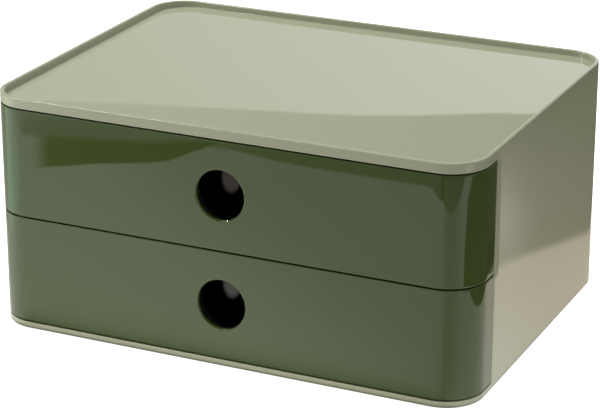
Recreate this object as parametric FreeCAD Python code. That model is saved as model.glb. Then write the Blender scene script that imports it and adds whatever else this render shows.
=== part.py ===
"""Desk file box with a tray top and two drawers, as separate moulded pieces, in millimetres.

The origin is the middle of the box on the desk. +Z is up, the drawer fronts face -Y and +X is the
right-hand side. The case stands on four rubber feet and each drawer slides out along -Y.
"""
import FreeCAD, Part
import math
import os

# Case
width = 260.0               # over the side walls
depth = 195.0               # drawer fronts to the back wall
case_height = 123.0         # underside of the base to the top of the tray rim
corner_radius = 20.0        # the four upright corners, case and drawer fronts alike
side_wall = 2.2
back_wall = 2.2
base_wall = 2.0
top_wall = 1.7              # floor of the tray
tray_depth = 3.3            # rim height over the tray floor
rim_wall = 1.5
tray_foot = 0.8             # bevel between the rim and the tray floor
rim_edge = 0.4              # bevels of the rim's top
base_edge = 3.0             # rounded edge round the underside
sill_height = 3.5           # band under the lower drawer, base included
sill_wall = 2.0
wall_setback = 29.9         # drawer fronts to the front edge of the side walls
wall_edge = 0.5             # outer edge of the side walls' front edges

# Drawer fronts
drawer_count = 2
front_gap = 0.8             # round each front: bands, neighbour
side_joint = 0.6            # end of the front's return to the side wall
front_wall = 2.2
front_edge = 0.5
front_pan = 5.0             # space between the front and the tub behind it
flange_wall = 1.8           # the front's top and bottom flanges
hole_radius = 12.8          # finger hole
hole_edge = 0.6             # bevel of the finger hole's rim
hole_rise = 0.4             # finger hole above the middle of the front
boss_radius = 3.3
boss_inset = 14.5           # screw bosses from the side of the tub
boss_rise = 0.5             # screws at this share of the front's height
screw_radius = 1.45
screw_clear = 0.05          # screw in its boss
screw_pass = 0.25           # screw through the tub wall
screw_length = 5.6          # shank under the head
screw_head_radius = 2.8
screw_head_height = 2.0

# Drawer tubs
tub_wall = 1.8
tub_taper = 1.2             # draft of the sides and back, top to bottom
tub_corner = 12.0           # upright corners at the back
tub_edge = 3.0              # rounding between floor and walls, inside
tub_bevel = 1.5             # bevel under the sides and back
tub_hole_margin = 2.6       # the tub's hole is this much larger than the finger hole
flange_thick = 1.8          # flange that hangs on the runners
flange_front = 4.3          # tub front to the start of the flange
flange_corner = 4.0         # front corners of the flange
back_lip = 1.2              # flange behind the tub
travel = 140.0              # how far a drawer opens
stop_gap = 0.3              # stop lug to stop block with the drawer open
lug_reach = 3.5
lug_length = 8.0
lug_height = 5.0
lug_drop = 0.6              # stop lug below the runner ledge

# Runner panels and shelf
panel_wall = 1.6
panel_standoff = 1.8        # panel to side wall, bridged by the spacer ribs
panel_end_clear = 1.5       # panel ends to the rounded corners
spacer_count = 4
spacer_wall = 2.0
runner_width = 5.0
runner_thick = 2.0
guide_width = 3.0           # guides over the drawer flanges
guide_thick = 1.5
block_reach = 4.2           # stop blocks at the front of the panels
block_length = 2.5
slide_clear = 0.3           # flange to runner and to guide
flange_clear = 0.6          # flange to panel
tub_clear = 0.9             # tub to the runner's tip
floor_clear = 0.5           # drawer over the shelf
rear_clear = 2.5            # drawer to the rear cover's hooks
shelf_wall = 1.8
shelf_setback = 1.3         # shelf behind the front edge of the tubs
shelf_corner = 14.0
shelf_clear = 0.3           # shelf to panels and to the rear cover
shelf_rib_count = 5
shelf_rib_wall = 1.6
shelf_rib_height = 1.0
locator_height = 1.0        # ribs on roof and base that keep the panels out
locator_wall = 1.6
locator_length = 24.0
locator_count = 3

# Rear cover
window_border = 12.0        # back wall left round the window
window_radius = 6.0
rebate = 3.5                # the cover's seat round the window
cover_wall = 1.2
cover_clear = 0.3
ring_wall = 1.6             # rim of the cover inside the window
ring_depth = 3.0
cover_rib_count = 4
cover_rib_wall = 1.2
cover_rib_height = 2.0
hook_count = 3              # along the top and again along the bottom
hook_width = 10.0
hook_catch = 0.8
hook_reach = 3.8            # from the cover's plate to the tip
hook_slit = 1.5

# Rubber feet
foot_stand = 2.0            # how far the feet stand below the case
foot_radius = 7.0
foot_recess = 0.8
foot_clear = 0.2            # round the pad in its recess
foot_inset_x = 26.0         # centre of a foot from the side of the case
foot_inset_y = 24.0         # and from its front or back

# Levels and planes that follow from the sizes above
half_width = width / 2
front_y = -depth / 2
back_y = depth / 2
case_bottom = foot_stand
case_top = case_bottom + case_height
tray_floor = case_top - tray_depth
roof = tray_floor - top_wall
base_top = case_bottom + base_wall
sill_top = case_bottom + sill_height
wall_front_y = front_y + wall_setback
front_height = (roof - sill_top - (drawer_count + 1) * front_gap) / drawer_count
front_pitch = front_height + front_gap
tub_front_y = front_y + front_wall + front_pan
tub_back_y = back_y - cover_wall - hook_reach - rear_clear
panel_outer = half_width - side_wall - panel_standoff
panel_inner = panel_outer - panel_wall
runner_tip = panel_inner - runner_width
tub_half = runner_tip - tub_clear
flange_half = panel_inner - flange_clear
tub_lift = (shelf_wall - front_gap) / 2 + floor_clear
tub_top_rise = front_height + (front_gap - shelf_wall) / 2 - guide_thick - slide_clear
runner_rise = tub_top_rise - flange_thick - slide_clear
lug_top_rise = runner_rise - runner_thick - lug_drop
hole_z_rise = front_height / 2 + hole_rise


def front_bottom(level):
    """Lower edge of a drawer front, with level 0 the lowest drawer."""
    return sill_top + front_gap + level * front_pitch


def shelf_middle(level):
    """Middle of the shelf under the drawer of this level."""
    return front_bottom(level) - front_gap / 2


def vec(x, y, z):
    return FreeCAD.Vector(x, y, z)


def box(x0, x1, y0, y1, z0, z1):
    """Block between two opposite corners."""
    return Part.makeBox(x1 - x0, y1 - y0, z1 - z0, vec(x0, y0, z0))


def rod(radius, start, direction, length):
    return Part.makeCylinder(radius, length, start, direction)


def mirrored(shape):
    """The same shape on the other side of the middle plane."""
    return shape.mirror(vec(0, 0, 0), vec(1, 0, 0))


def plan_wire(half, y0, y1, r_front, r_back, z):
    """Rounded rectangle seen from above; a corner radius of zero leaves the corner square."""
    def corner(cx, cy, radius, start):
        turns = [math.radians(start + turn) for turn in (0, 45, 90)]
        return [vec(cx + radius * math.cos(a), cy + radius * math.sin(a), z) for a in turns]

    corners = [
        corner(half - r_back, y1 - r_back, r_back, 0),
        corner(-half + r_back, y1 - r_back, r_back, 90),
        corner(-half + r_front, y0 + r_front, r_front, 180),
        corner(half - r_front, y0 + r_front, r_front, 270),
    ]
    edges = []
    for index, (first, middle, last) in enumerate(corners):
        if not first.isEqual(last, 1e-6):
            edges.append(Part.Arc(first, middle, last).toShape())
        edges.append(Part.makeLine(last, corners[(index + 1) % 4][0]))
    return Part.Wire(edges)


def plan_block(half, y0, y1, r_front, r_back, z0, z1):
    """Upright block with the rounded plan of plan_wire."""
    face = Part.Face(plan_wire(half, y0, y1, r_front, r_back, z0))
    return face.extrude(vec(0, 0, z1 - z0))


def outline_block(inset, z0, z1):
    """Block with the case's outline, all round inset from it."""
    radius = corner_radius - inset
    return plan_block(half_width - inset, front_y + inset, back_y - inset, radius, radius, z0, z1)


def edges_where(shape, test):
    """Edges whose every end and middle point passes the test."""
    found = []
    for edge in shape.Edges:
        middle = edge.valueAt((edge.FirstParameter + edge.LastParameter) / 2)
        points = [vertex.Point for vertex in edge.Vertexes] + [middle]
        if all(test(p) for p in points):
            found.append(edge)
    return found


def near(a, b):
    return abs(a - b) < 1e-4


def outside_by(point):
    """How far a point lies inside the case's outline, measured square to it."""
    cx = half_width - corner_radius
    cy = back_y - corner_radius
    dx = abs(point.x) - cx
    dy = abs(point.y) - cy
    if dx > 0 and dy > 0:
        return corner_radius - math.hypot(dx, dy)
    return min(half_width - abs(point.x), back_y - abs(point.y))


def on_outline(point, inset=0.0):
    return near(outside_by(point), inset)


def end_in_corner(x, wall, clear):
    """How far from the middle a piece at this x may reach before the inside of a rounded corner."""
    side = x - (half_width - corner_radius)
    reach = math.sqrt((corner_radius - wall) ** 2 - side ** 2)
    return back_y - corner_radius + reach - clear


panel_front_y = -end_in_corner(panel_outer, front_wall, panel_end_clear)
panel_back_y = end_in_corner(panel_outer, max(side_wall, back_wall), panel_end_clear)
lug_front_y = panel_front_y + block_length + travel + stop_gap
window_half = half_width - corner_radius - window_border
window_bottom = base_top + window_border
window_top = roof - window_border
foot_places = {
    "foot_front_left": (-half_width + foot_inset_x, front_y + foot_inset_y),
    "foot_front_right": (half_width - foot_inset_x, front_y + foot_inset_y),
    "foot_rear_left": (-half_width + foot_inset_x, back_y - foot_inset_y),
    "foot_rear_right": (half_width - foot_inset_x, back_y - foot_inset_y),
}


def window_block(grow, y0, y1):
    """Block through the back wall with the window's rounded outline, grown all round."""
    half = window_half + grow
    height = (window_top - window_bottom) / 2 + grow
    radius = window_radius + grow
    face = Part.Face(plan_wire(half, -height, height, radius, radius, 0))
    block = face.extrude(vec(0, 0, y1 - y0))
    block.rotate(vec(0, 0, 0), vec(1, 0, 0), 90)
    block.translate(vec(0, y1, (window_top + window_bottom) / 2))
    return block


def spread(count, first, last):
    """Evenly spaced places from first to last, both included."""
    step = (last - first) / (count - 1)
    return [first + index * step for index in range(count)]


def case_shell():
    """One moulded sleeve: tray and rim on top, side and back walls, base with the front sill."""
    shell = outline_block(0, case_bottom, case_top)
    shell = shell.makeFillet(base_edge, edges_where(shell, lambda p: near(p.z, case_bottom)))
    shell = shell.makeChamfer(rim_edge, edges_where(shell, lambda p: near(p.z, case_top)))

    tray = outline_block(rim_wall, tray_floor, case_top + 1)
    tray = tray.makeChamfer(tray_foot, edges_where(tray, lambda p: near(p.z, tray_floor)))
    shell = shell.cut(tray)
    inner_rim = edges_where(shell, lambda p: near(p.z, case_top) and on_outline(p, rim_wall))
    shell = shell.makeChamfer(rim_edge, inner_rim)

    inner_radius = corner_radius - side_wall
    cavity = plan_block(half_width - side_wall, front_y + sill_wall, back_y - back_wall,
                        inner_radius, inner_radius, base_top, roof)
    mouth = box(-width, width, front_y - 1, wall_front_y, sill_top, roof)
    shell = shell.cut(cavity).cut(mouth)

    def on_wall_end(point):
        between = sill_top - 1e-4 < point.z < roof + 1e-4
        return near(point.y, wall_front_y) and near(abs(point.x), half_width) and between

    shell = shell.makeFillet(wall_edge, edges_where(shell, on_wall_end))

    shell = shell.cut(window_block(0, back_y - back_wall - 1, back_y + 1))
    shell = shell.cut(window_block(rebate, back_y - cover_wall, back_y + 1))

    for x, y in foot_places.values():
        shell = shell.cut(rod(foot_radius + foot_clear, vec(x, y, case_bottom - 1), vec(0, 0, 1), foot_recess + 1))

    locator_x = panel_inner - locator_wall
    locators = []
    for y in spread(locator_count, wall_front_y + locator_length, panel_back_y - locator_length):
        for z0 in (base_top, roof - locator_height):
            rib = box(locator_x, panel_inner, y - locator_length / 2, y + locator_length / 2,
                      z0, z0 + locator_height)
            locators.append(rib)
            locators.append(mirrored(rib))
    return shell.fuse(locators).removeSplitter()


def rear_cover():
    """Plate in the back window: a rim inside it, stiffening ribs and snap hooks top and bottom."""
    plate_y = back_y - cover_wall
    ring_y = plate_y - ring_depth
    cover = window_block(rebate - cover_clear, plate_y, back_y)
    ring = window_block(-cover_clear, ring_y, plate_y)
    ring = ring.cut(window_block(-cover_clear - ring_wall, ring_y - 1, plate_y + 1))
    inside = window_half - cover_clear - ring_wall / 2
    low = window_bottom + cover_clear + ring_wall / 2
    high = window_top - cover_clear - ring_wall / 2
    pieces = []
    for x in spread(cover_rib_count + 2, -inside, inside)[1:-1]:
        pieces.append(box(x - cover_rib_wall / 2, x + cover_rib_wall / 2,
                          plate_y - cover_rib_height, plate_y, low, high))
    middle = (low + high) / 2
    pieces.append(box(-inside, inside, plate_y - cover_rib_height, plate_y,
                      middle - cover_rib_wall / 2, middle + cover_rib_wall / 2))

    hook_places = spread(hook_count, -window_half * 0.7, window_half * 0.7)
    for x in hook_places:
        for edge, outward in ((window_top, 1), (window_bottom, -1)):
            slit = box(x - hook_width / 2 - hook_slit, x + hook_width / 2 + hook_slit,
                       ring_y - 1, plate_y, edge - 5, edge + 5)
            ring = ring.cut(slit)
            pieces.append(hook(x, edge - outward * cover_clear, outward, plate_y))
    return cover.fuse([ring] + pieces).removeSplitter()


def hook(x, face_z, outward, plate_y):
    """Snap hook: a flat tongue with a barb that catches behind the back wall."""
    catch_y = back_y - back_wall - 0.1
    tip_y = plate_y - hook_reach
    inner = face_z - outward * ring_wall
    barb = face_z + outward * (cover_clear + hook_catch)
    points = [
        vec(x - hook_width / 2, plate_y, inner),
        vec(x - hook_width / 2, tip_y, inner),
        vec(x - hook_width / 2, tip_y, face_z),
        vec(x - hook_width / 2, (tip_y + catch_y) / 2, barb),
        vec(x - hook_width / 2, catch_y, barb),
        vec(x - hook_width / 2, catch_y, face_z),
        vec(x - hook_width / 2, plate_y, face_z),
    ]
    return Part.Face(Part.makePolygon(points + points[:1])).extrude(vec(hook_width, 0, 0))


def divider_shelf(level):
    """Shelf between two drawers, ribbed underneath, which lies on the ledges of the runner panels."""
    middle = shelf_middle(level)
    under = middle - shelf_wall / 2
    y0 = tub_front_y + shelf_setback
    y1 = back_y - cover_wall - hook_reach - shelf_clear
    shelf = plan_block(panel_inner - shelf_clear, y0, y1, shelf_corner, shelf_corner,
                       under, under + shelf_wall)
    rib_end = panel_inner - guide_width - shelf_clear
    ribs = []
    for y in spread(shelf_rib_count, y0 + shelf_corner, y1 - shelf_corner):
        ribs.append(box(-rib_end, rib_end, y - shelf_rib_wall / 2, y + shelf_rib_wall / 2,
                        under - shelf_rib_height, under))
    return shelf.fuse(ribs).removeSplitter()


def runner_panel():
    """Right-hand inner panel: runner, guide and stop block for each drawer, and spacer ribs outside."""
    pieces = []
    first_spacer = wall_front_y + spacer_wall
    last_spacer = back_y - corner_radius - spacer_wall
    for y in spread(spacer_count, first_spacer, last_spacer):
        pieces.append(box(panel_outer, half_width - side_wall, y - spacer_wall / 2, y + spacer_wall / 2,
                          base_top, roof))
    for level in range(drawer_count):
        runner_top = front_bottom(level) + runner_rise
        guide_under = front_bottom(level) + tub_top_rise + slide_clear
        lug_top = front_bottom(level) + lug_top_rise
        pieces.append(box(runner_tip, panel_inner, panel_front_y, panel_back_y,
                          runner_top - runner_thick, runner_top))
        pieces.append(box(panel_inner - guide_width, panel_inner, panel_front_y, panel_back_y,
                          guide_under, guide_under + guide_thick))
        pieces.append(box(panel_inner - block_reach, panel_inner, panel_front_y,
                          panel_front_y + block_length, lug_top - lug_height, lug_top))
    plate = box(panel_inner, panel_outer, panel_front_y, panel_back_y, base_top, roof)
    return plate.fuse(pieces).removeSplitter()


def foot(x, y):
    """Rubber foot: a round pad cut from sheet and glued into a shallow recess of the base."""
    return rod(foot_radius, vec(x, y, 0), vec(0, 0, 1), case_bottom + foot_recess)


def boss_places(level):
    """Centres of a drawer's two screws, as x and z."""
    z = front_bottom(level) + boss_rise * front_height
    return [(side * (tub_half - boss_inset), z) for side in (-1, 1)]


def drawer_front(level):
    """Moulded front that wraps round both corners: flanges top and bottom, two screw bosses behind."""
    bottom = front_bottom(level)
    top = bottom + front_height
    end_y = wall_front_y - side_joint
    keep = box(-width, width, front_y - 1, end_y, bottom - 1, top + 1)
    shell = outline_block(0, bottom, top).common(keep)

    def on_rim(point):
        on_level = near(point.z, bottom) or near(point.z, top)
        return on_level and on_outline(point)

    def on_end(point):
        return near(point.y, end_y) and near(abs(point.x), half_width)

    shell = shell.makeChamfer(front_edge, edges_where(shell, lambda p: on_rim(p) or on_end(p)))
    hollow = outline_block(front_wall, bottom - 1, top + 1)
    shell = shell.cut(hollow)

    flange_plan = outline_block(front_wall / 2, bottom, top)
    for z in (bottom, top - flange_wall):
        strip = box(-tub_half, tub_half, front_y, tub_front_y, z, z + flange_wall)
        shell = shell.fuse(flange_plan.common(strip))

    inner_y = front_y + front_wall
    for x, z in boss_places(level):
        boss = rod(boss_radius, vec(x, inner_y - front_wall / 2, z), vec(0, 1, 0), front_pan + front_wall / 2)
        bore = rod(screw_radius + screw_clear, vec(x, inner_y, z), vec(0, 1, 0), front_pan + 1)
        shell = shell.fuse(boss).cut(bore)

    hole_z = bottom + hole_z_rise
    shell = shell.cut(rod(hole_radius, vec(0, front_y - 1, hole_z), vec(0, 1, 0), front_wall + 2))
    return shell.cut(rim_cone(hole_z)).removeSplitter()


def rim_cone(z):
    """Cone that bevels the finger hole's rim, from a little in front of the drawer front."""
    over = 1.0
    return Part.makeCone(hole_radius + hole_edge + over, hole_radius, hole_edge + over,
                         vec(0, front_y - over, z), vec(0, 1, 0))


def tub_block(half, y0, y1, r_back, z0, z1):
    """Tapered block of a tub: sides and back draw in towards the bottom, the front stays upright."""
    across = [(half - tub_taper, z0), (half, z1), (-half, z1), (-half + tub_taper, z0)]
    along = [(y0, z0), (y0, z1), (y1, z1), (y1 - tub_taper, z0)]
    front = Part.makePolygon([vec(x, y0, z) for x, z in across + across[:1]])
    side = Part.makePolygon([vec(-half, y, z) for y, z in along + along[:1]])
    block = Part.Face(front).extrude(vec(0, y1 - y0, 0)).common(Part.Face(side).extrude(vec(2 * half, 0, 0)))
    upright = edges_where(block, lambda p: p.y > y1 - tub_taper - 1e-4 and abs(p.x) > half - tub_taper - 1e-4)
    return block.makeFillet(r_back, upright)


def drawer_tub(level):
    """Moulded tub with drafted walls, a flange that hangs on the runners, and stop lugs."""
    bottom = front_bottom(level) + tub_lift
    top = front_bottom(level) + tub_top_rise
    outer = tub_block(tub_half, tub_front_y, tub_back_y, tub_corner, bottom, top)
    under = edges_where(outer, lambda p: near(p.z, bottom) and p.y > tub_front_y + 1e-4)
    outer = outer.makeChamfer(tub_bevel, under)
    floor_z = bottom + tub_wall
    inner = tub_block(tub_half - tub_wall, tub_front_y + tub_wall, tub_back_y - tub_wall,
                      tub_corner - tub_wall, floor_z, top)
    inner = inner.makeFillet(tub_edge, edges_where(inner, lambda p: near(p.z, floor_z)))
    flange = plan_block(flange_half, tub_front_y + flange_front, tub_back_y + back_lip,
                        flange_corner, tub_corner, top - flange_thick, top)

    lug_top = front_bottom(level) + lug_top_rise
    root_x = tub_half - tub_wall
    tip_x = tub_half + lug_reach
    points = [
        vec(root_x, lug_front_y, lug_top),
        vec(tip_x, lug_front_y, lug_top),
        vec(root_x, lug_front_y + lug_length, lug_top),
    ]
    lug = Part.Face(Part.makePolygon(points + points[:1])).extrude(vec(0, 0, -lug_height))
    tub = outer.fuse([flange, lug, mirrored(lug)]).cut(inner)

    hole_z = front_bottom(level) + hole_z_rise
    tub = tub.cut(rod(hole_radius + tub_hole_margin, vec(0, tub_front_y - 1, hole_z), vec(0, 1, 0), tub_wall + 2))
    for x, z in boss_places(level):
        tub = tub.cut(rod(screw_radius + screw_pass, vec(x, tub_front_y - 1, z), vec(0, 1, 0), tub_wall + 2))
    return tub.removeSplitter()


def screw(x, z):
    """Pan-head screw driven from inside the tub."""
    seat_y = tub_front_y + tub_wall
    shank = rod(screw_radius, vec(x, seat_y - screw_length, z), vec(0, 1, 0), screw_length)
    return shank.fuse(rod(screw_head_radius, vec(x, seat_y, z), vec(0, 1, 0), screw_head_height))


def drawer_screws(level):
    return Part.makeCompound([screw(x, z) for x, z in boss_places(level)])


def build():
    """Every piece by the name of its node."""
    panel = runner_panel()
    pieces = {
        "case_shell": case_shell(),
        "rear_cover": rear_cover(),
        "runner_panel_right": panel,
        "runner_panel_left": mirrored(panel),
        "divider_shelf": divider_shelf(1),
    }
    for name, (x, y) in foot_places.items():
        pieces[name] = foot(x, y)
    for level, name in enumerate(("lower", "upper")):
        pieces[name + "_drawer_front"] = drawer_front(level)
        pieces[name + "_drawer_tub"] = drawer_tub(level)
        pieces[name + "_drawer_screws"] = drawer_screws(level)
    return pieces


os.makedirs("parts", exist_ok=True)
for node, shape in build().items():
    shape.exportStep("parts/" + node + ".step")
    box_size = shape.BoundBox
    print(node, "valid" if shape.isValid() else "NOT VALID", len(shape.Solids), "solid(s)",
          round(shape.Volume / 1000, 2), "cm3, z", round(box_size.ZMin, 2), "to", round(box_size.ZMax, 2))
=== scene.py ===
"""Desk file box with a tray top and two drawers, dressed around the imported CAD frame.

Sizes are in metres.
"""

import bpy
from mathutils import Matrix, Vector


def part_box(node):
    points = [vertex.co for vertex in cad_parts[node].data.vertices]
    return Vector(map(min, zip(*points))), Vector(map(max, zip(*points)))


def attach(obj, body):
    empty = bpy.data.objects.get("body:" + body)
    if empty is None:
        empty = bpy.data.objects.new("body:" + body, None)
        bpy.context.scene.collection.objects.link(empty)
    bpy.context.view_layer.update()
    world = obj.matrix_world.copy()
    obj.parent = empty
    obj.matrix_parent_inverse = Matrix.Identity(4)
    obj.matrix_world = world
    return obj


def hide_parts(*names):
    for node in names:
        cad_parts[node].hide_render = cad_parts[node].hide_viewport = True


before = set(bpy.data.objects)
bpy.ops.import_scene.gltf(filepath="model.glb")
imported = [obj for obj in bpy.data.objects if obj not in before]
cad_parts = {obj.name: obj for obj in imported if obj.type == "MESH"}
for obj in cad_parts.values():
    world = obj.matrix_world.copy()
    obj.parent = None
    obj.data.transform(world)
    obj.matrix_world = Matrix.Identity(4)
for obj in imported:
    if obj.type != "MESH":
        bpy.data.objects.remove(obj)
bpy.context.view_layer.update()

import math

import bmesh
import bpy
import numpy as np
from mathutils import Matrix, Vector

# ---- Camera
# A long lens above the right front corner of the box, level from side to side, without
# shift or depth of field.


def placed(name, data):
    """New object of the scene."""
    thing = bpy.data.objects.new(name, data)
    bpy.context.scene.collection.objects.link(thing)
    return thing


camera_data = bpy.data.cameras.new("camera")
camera_data.sensor_width = 36.0
camera_data.lens = 140.97
camera_data.clip_end = 50.0
camera = placed("camera", camera_data)
camera_place = Vector((0.479287, -1.036770, 0.486680))
camera_right = Vector((0.90680, 0.42156, -0.00026))
camera_up = Vector((-0.14948, 0.32212, 0.93482))
camera_back = Vector((0.39416, -0.84766, 0.35511))
camera_axes = Matrix((camera_right, camera_up, camera_back)).transposed().to_4x4()
camera.matrix_world = Matrix.Translation(camera_place) @ camera_axes
bpy.context.scene.camera = camera
bpy.context.scene.view_settings.view_transform = "Standard"

# ---- Case moulding
# The outer case is one glossy injection moulding in sage ABS: tray and rim on top, side and
# back walls with a window, and the base with its front sill. Every outer edge has a small
# rounding from the mould.
mm = 0.001
case_low, case_high = (np.array(corner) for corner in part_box("case_shell"))
half_x, half_y = case_high[0], case_high[1]
case_bottom, case_top = case_low[2], case_high[2]
corner_radius = 20 * mm
case_wall = 2.2 * mm
rim_wall = 2.2 * mm
rim_round = 0.45 * mm
tray_z = case_top - 3.3 * mm
tray_fillet = 0.2 * mm
tray_insets = np.array([3, 4.5, 7, 11, 15, 20]) * mm
dip_x, dip_y, dip_width, dip_length, dip_depth = 40 * mm, 15 * mm, 60 * mm, 95 * mm, 0.115 * mm
bulge_x, bulge_y, bulge_width, bulge_height = -100 * mm, -35 * mm, 45 * mm, 0.09 * mm
sag_start, sag_fade = 3 * mm, 12 * mm
roof_z = tray_z - 1.7 * mm
base_z = case_bottom + 2.0 * mm
base_round = 1.0 * mm
base_insets = np.array([3.6, 9, 20]) * mm
cavity_inset = 11 * mm
sill_z = case_bottom + 3.5 * mm
wall_front_y = -half_y + 29.9 * mm
lip_round = 0.25 * mm
window_half = 98 * mm
window_border = 12 * mm
window_low, window_high = base_z + window_border, roof_z - window_border
window_corner = 6 * mm
window_rebate = 3.5 * mm
window_round = 0.25 * mm
rebate_depth = 1.2 * mm

# Mesh spacing. Rows at a hold's distance from a round keep the flat beside it flat in shading.
step = 5 * mm
round_steps = 6
corner_steps = 24
side_count = 30
rise_hold, rim_hold, tray_hold, wall_hold = 0.3 * mm, 0.4 * mm, 0.3 * mm, 0.5 * mm
back_shares = (0, 0.5, 0.9, 1)
merge_gap = 2e-6


def quarter_round(count=round_steps):
    """Shares (1 - sin a, 1 - cos a) of a radius for even steps a of a quarter turn."""
    a = np.linspace(0, math.pi / 2, count + 1)
    return np.stack([1 - np.sin(a), 1 - np.cos(a)], 1)


def spaced(first, last, spacing=step):
    """Even places from first to last, no further apart than the spacing."""
    return np.linspace(first, last, max(int(math.ceil(abs(last - first) / spacing)), 1) + 1)


def arc_run(centre_x, centre_y, radius, start, turn=90, count=corner_steps):
    """Part of an outline: points c + R (cos a, sin a), and the outward normals (cos a, sin a)."""
    a = np.radians(np.linspace(start, start + turn, count + 1))
    normal = np.stack([np.cos(a), np.sin(a)], 1)
    return np.array([centre_x, centre_y]) + radius * normal, normal


def line_run(x, y, normal):
    """Part of an outline: a straight line of points with one outward normal."""
    points = np.stack(np.broadcast_arrays(np.asarray(x, float), np.asarray(y, float)), 1)
    return points, np.tile(np.asarray(normal, float), (len(points), 1))


def chain(runs, closed):
    """Runs put end to end: the first point of each run is the last of the one before."""
    ends = [] if closed else [(runs[-1][0][-1:], runs[-1][1][-1:])]
    parts = [(points[:-1], normal[:-1]) for points, normal in runs] + ends
    return tuple(np.concatenate(side) for side in zip(*parts))


def sweep(outline, profile):
    """Rows of points: the outline moved in by each inset of the profile, at each height of it.

    point(row, column) = base(column) - inset(row) normal(column), z(row)
    """
    base, normal = outline
    inset, z = np.asarray(profile, float).T
    flat = base[None] - inset[:, None, None] * normal[None]
    height = np.broadcast_to(z[:, None, None], flat.shape[:2] + (1,))
    return np.concatenate([flat, height], 2)


def wrapped(rows):
    """A closed outline's rows with the first column again at the end."""
    return np.concatenate([rows, rows[:, :1]], 1)


def table(xs, ys, z):
    """Level grid of points over the places xs and ys."""
    x, y = np.meshgrid(xs, ys)
    return np.stack([x, y, np.broadcast_to(z, x.shape)], 2)


def border(rows):
    """The points once round the edge of a grid of points."""
    return np.concatenate([rows[0, :-1], rows[:-1, -1], rows[-1, :0:-1], rows[:0:-1, 0]])


def frame_loop(xs, zs):
    """Places (x, z) round the border of a grid, with the first again at the end."""
    loop = border(np.stack(np.meshgrid(xs, zs), 2))
    return np.concatenate([loop, loop[:1]])


def rounded_window(loop, half, low, high, radius):
    """The border loop drawn in to a rounded rectangle.

    Each place is scaled to the rectangle, and past a corner's centre it is set on the arc
    round that centre.
    """
    centre = (loop.max(0) + loop.min(0)) / 2
    reach = (loop.max(0) - loop.min(0)) / 2
    size = np.array([half, (high - low) / 2])
    p = (loop - centre) / reach * size
    over = np.maximum(np.abs(p) - (size - radius), 0)
    in_corner = (over > 0).all(1)
    length = np.where(in_corner, np.linalg.norm(over, axis=1), 1)
    arc = np.sign(p) * (size - radius + over / length[:, None] * radius)
    return np.where(in_corner[:, None], arc, p) + np.array([0, (low + high) / 2])


def post(x, y, zs):
    """Upright row of points over one place."""
    return np.stack([np.full(len(zs), x), np.full(len(zs), y), zs], 1)


def upright(loop, y):
    """A loop of places (x, z) as points of the plane y."""
    return np.stack([loop[:, 0], np.broadcast_to(y, len(loop)), loop[:, 1]], 1)


def between(first, last, shares):
    """Rows of points part way from one row to another: first (1 - share) + last share."""
    shares = np.asarray(shares, float)[:, None, None]
    return first[None] * (1 - shares) + last[None] * shares


def grid_faces(shape, first=0):
    """Quads between the neighbours of a grid of points, numbered row by row from the first."""
    index = np.arange(shape[0] * shape[1]).reshape(shape) + first
    corners = [index[:-1, :-1], index[:-1, 1:], index[1:, 1:], index[1:, :-1]]
    return np.stack(corners, 2).reshape(-1, 4)


def weld(name, sheets, sharp=40):
    """One mesh from grids of points: neighbours become quads, equal points are merged, faces
    point outwards, and edges sharper than the angle are shaded sharp."""
    vertices, faces, count = [], [], 0
    for rows in sheets:
        vertices.append(rows.reshape(-1, 3))
        faces.append(grid_faces(rows.shape[:2], count))
        count += len(vertices[-1])
    mesh = bpy.data.meshes.new(name)
    mesh.from_pydata(np.concatenate(vertices), [], np.concatenate(faces))
    soup = bmesh.new()
    soup.from_mesh(mesh)
    bmesh.ops.remove_doubles(soup, verts=soup.verts, dist=merge_gap)
    bmesh.ops.dissolve_degenerate(soup, edges=soup.edges, dist=merge_gap / 2)
    bmesh.ops.recalc_face_normals(soup, faces=soup.faces)
    soup.to_mesh(mesh)
    soup.free()
    mesh.polygons.foreach_set("use_smooth", np.ones(len(mesh.polygons), bool))
    mesh.set_sharp_from_angle(angle=math.radians(sharp))
    return placed(name, mesh)


def side_places(front_end_y):
    """Places along a side of the case: its straight part starts ahead of the wall's front end."""
    cy = half_y - corner_radius
    return np.concatenate([[-cy], np.linspace(front_end_y, cy, side_count)])


def case_outline(front_end_y):
    """Outline of the case from the right wall's front end, anticlockwise seen from above."""
    cx, cy = half_x - corner_radius, half_y - corner_radius
    ys = side_places(front_end_y)
    xs = spaced(cx, -cx)
    return chain([
        line_run(half_x, ys, (1, 0)), arc_run(cx, cy, corner_radius, 0),
        line_run(xs, half_y, (0, 1)), arc_run(-cx, cy, corner_radius, 90),
        line_run(-half_x, ys[::-1], (-1, 0)), arc_run(-cx, -cy, corner_radius, 180),
        line_run(xs[::-1], -half_y, (0, -1)), arc_run(cx, -cy, corner_radius, 270),
    ], closed=True)


def tray_sag(rows):
    """The tray floor is not quite flat: it has a dip and a bulge that fade out at the rim.

    dip = exp(-(u / width)^2) (1 + cos(pi v / length)) / 2, with u, v counted from its middle
    bulge = exp(-(distance from its middle / width)^2)
    """
    x, y = rows[..., 0], rows[..., 1]
    u, v = x - dip_x, y - dip_y
    edge = np.minimum(half_x - np.abs(x), half_y - np.abs(y)) - sag_start
    fade = np.clip(edge / sag_fade, 0, 1)
    along = np.cos(math.pi * np.clip(v / dip_length, -1, 1))
    dip = np.exp(-(u / dip_width) ** 2) * (1 + along) / 2
    bulge = np.exp(-((x - bulge_x) / bulge_width) ** 2 - ((y - bulge_y) / bulge_width) ** 2)
    sag = fade * (bulge_height * bulge - dip_depth * dip)
    rows[..., 2] += np.where(np.isclose(rows[..., 2], tray_z), sag, 0)
    return rows


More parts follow.
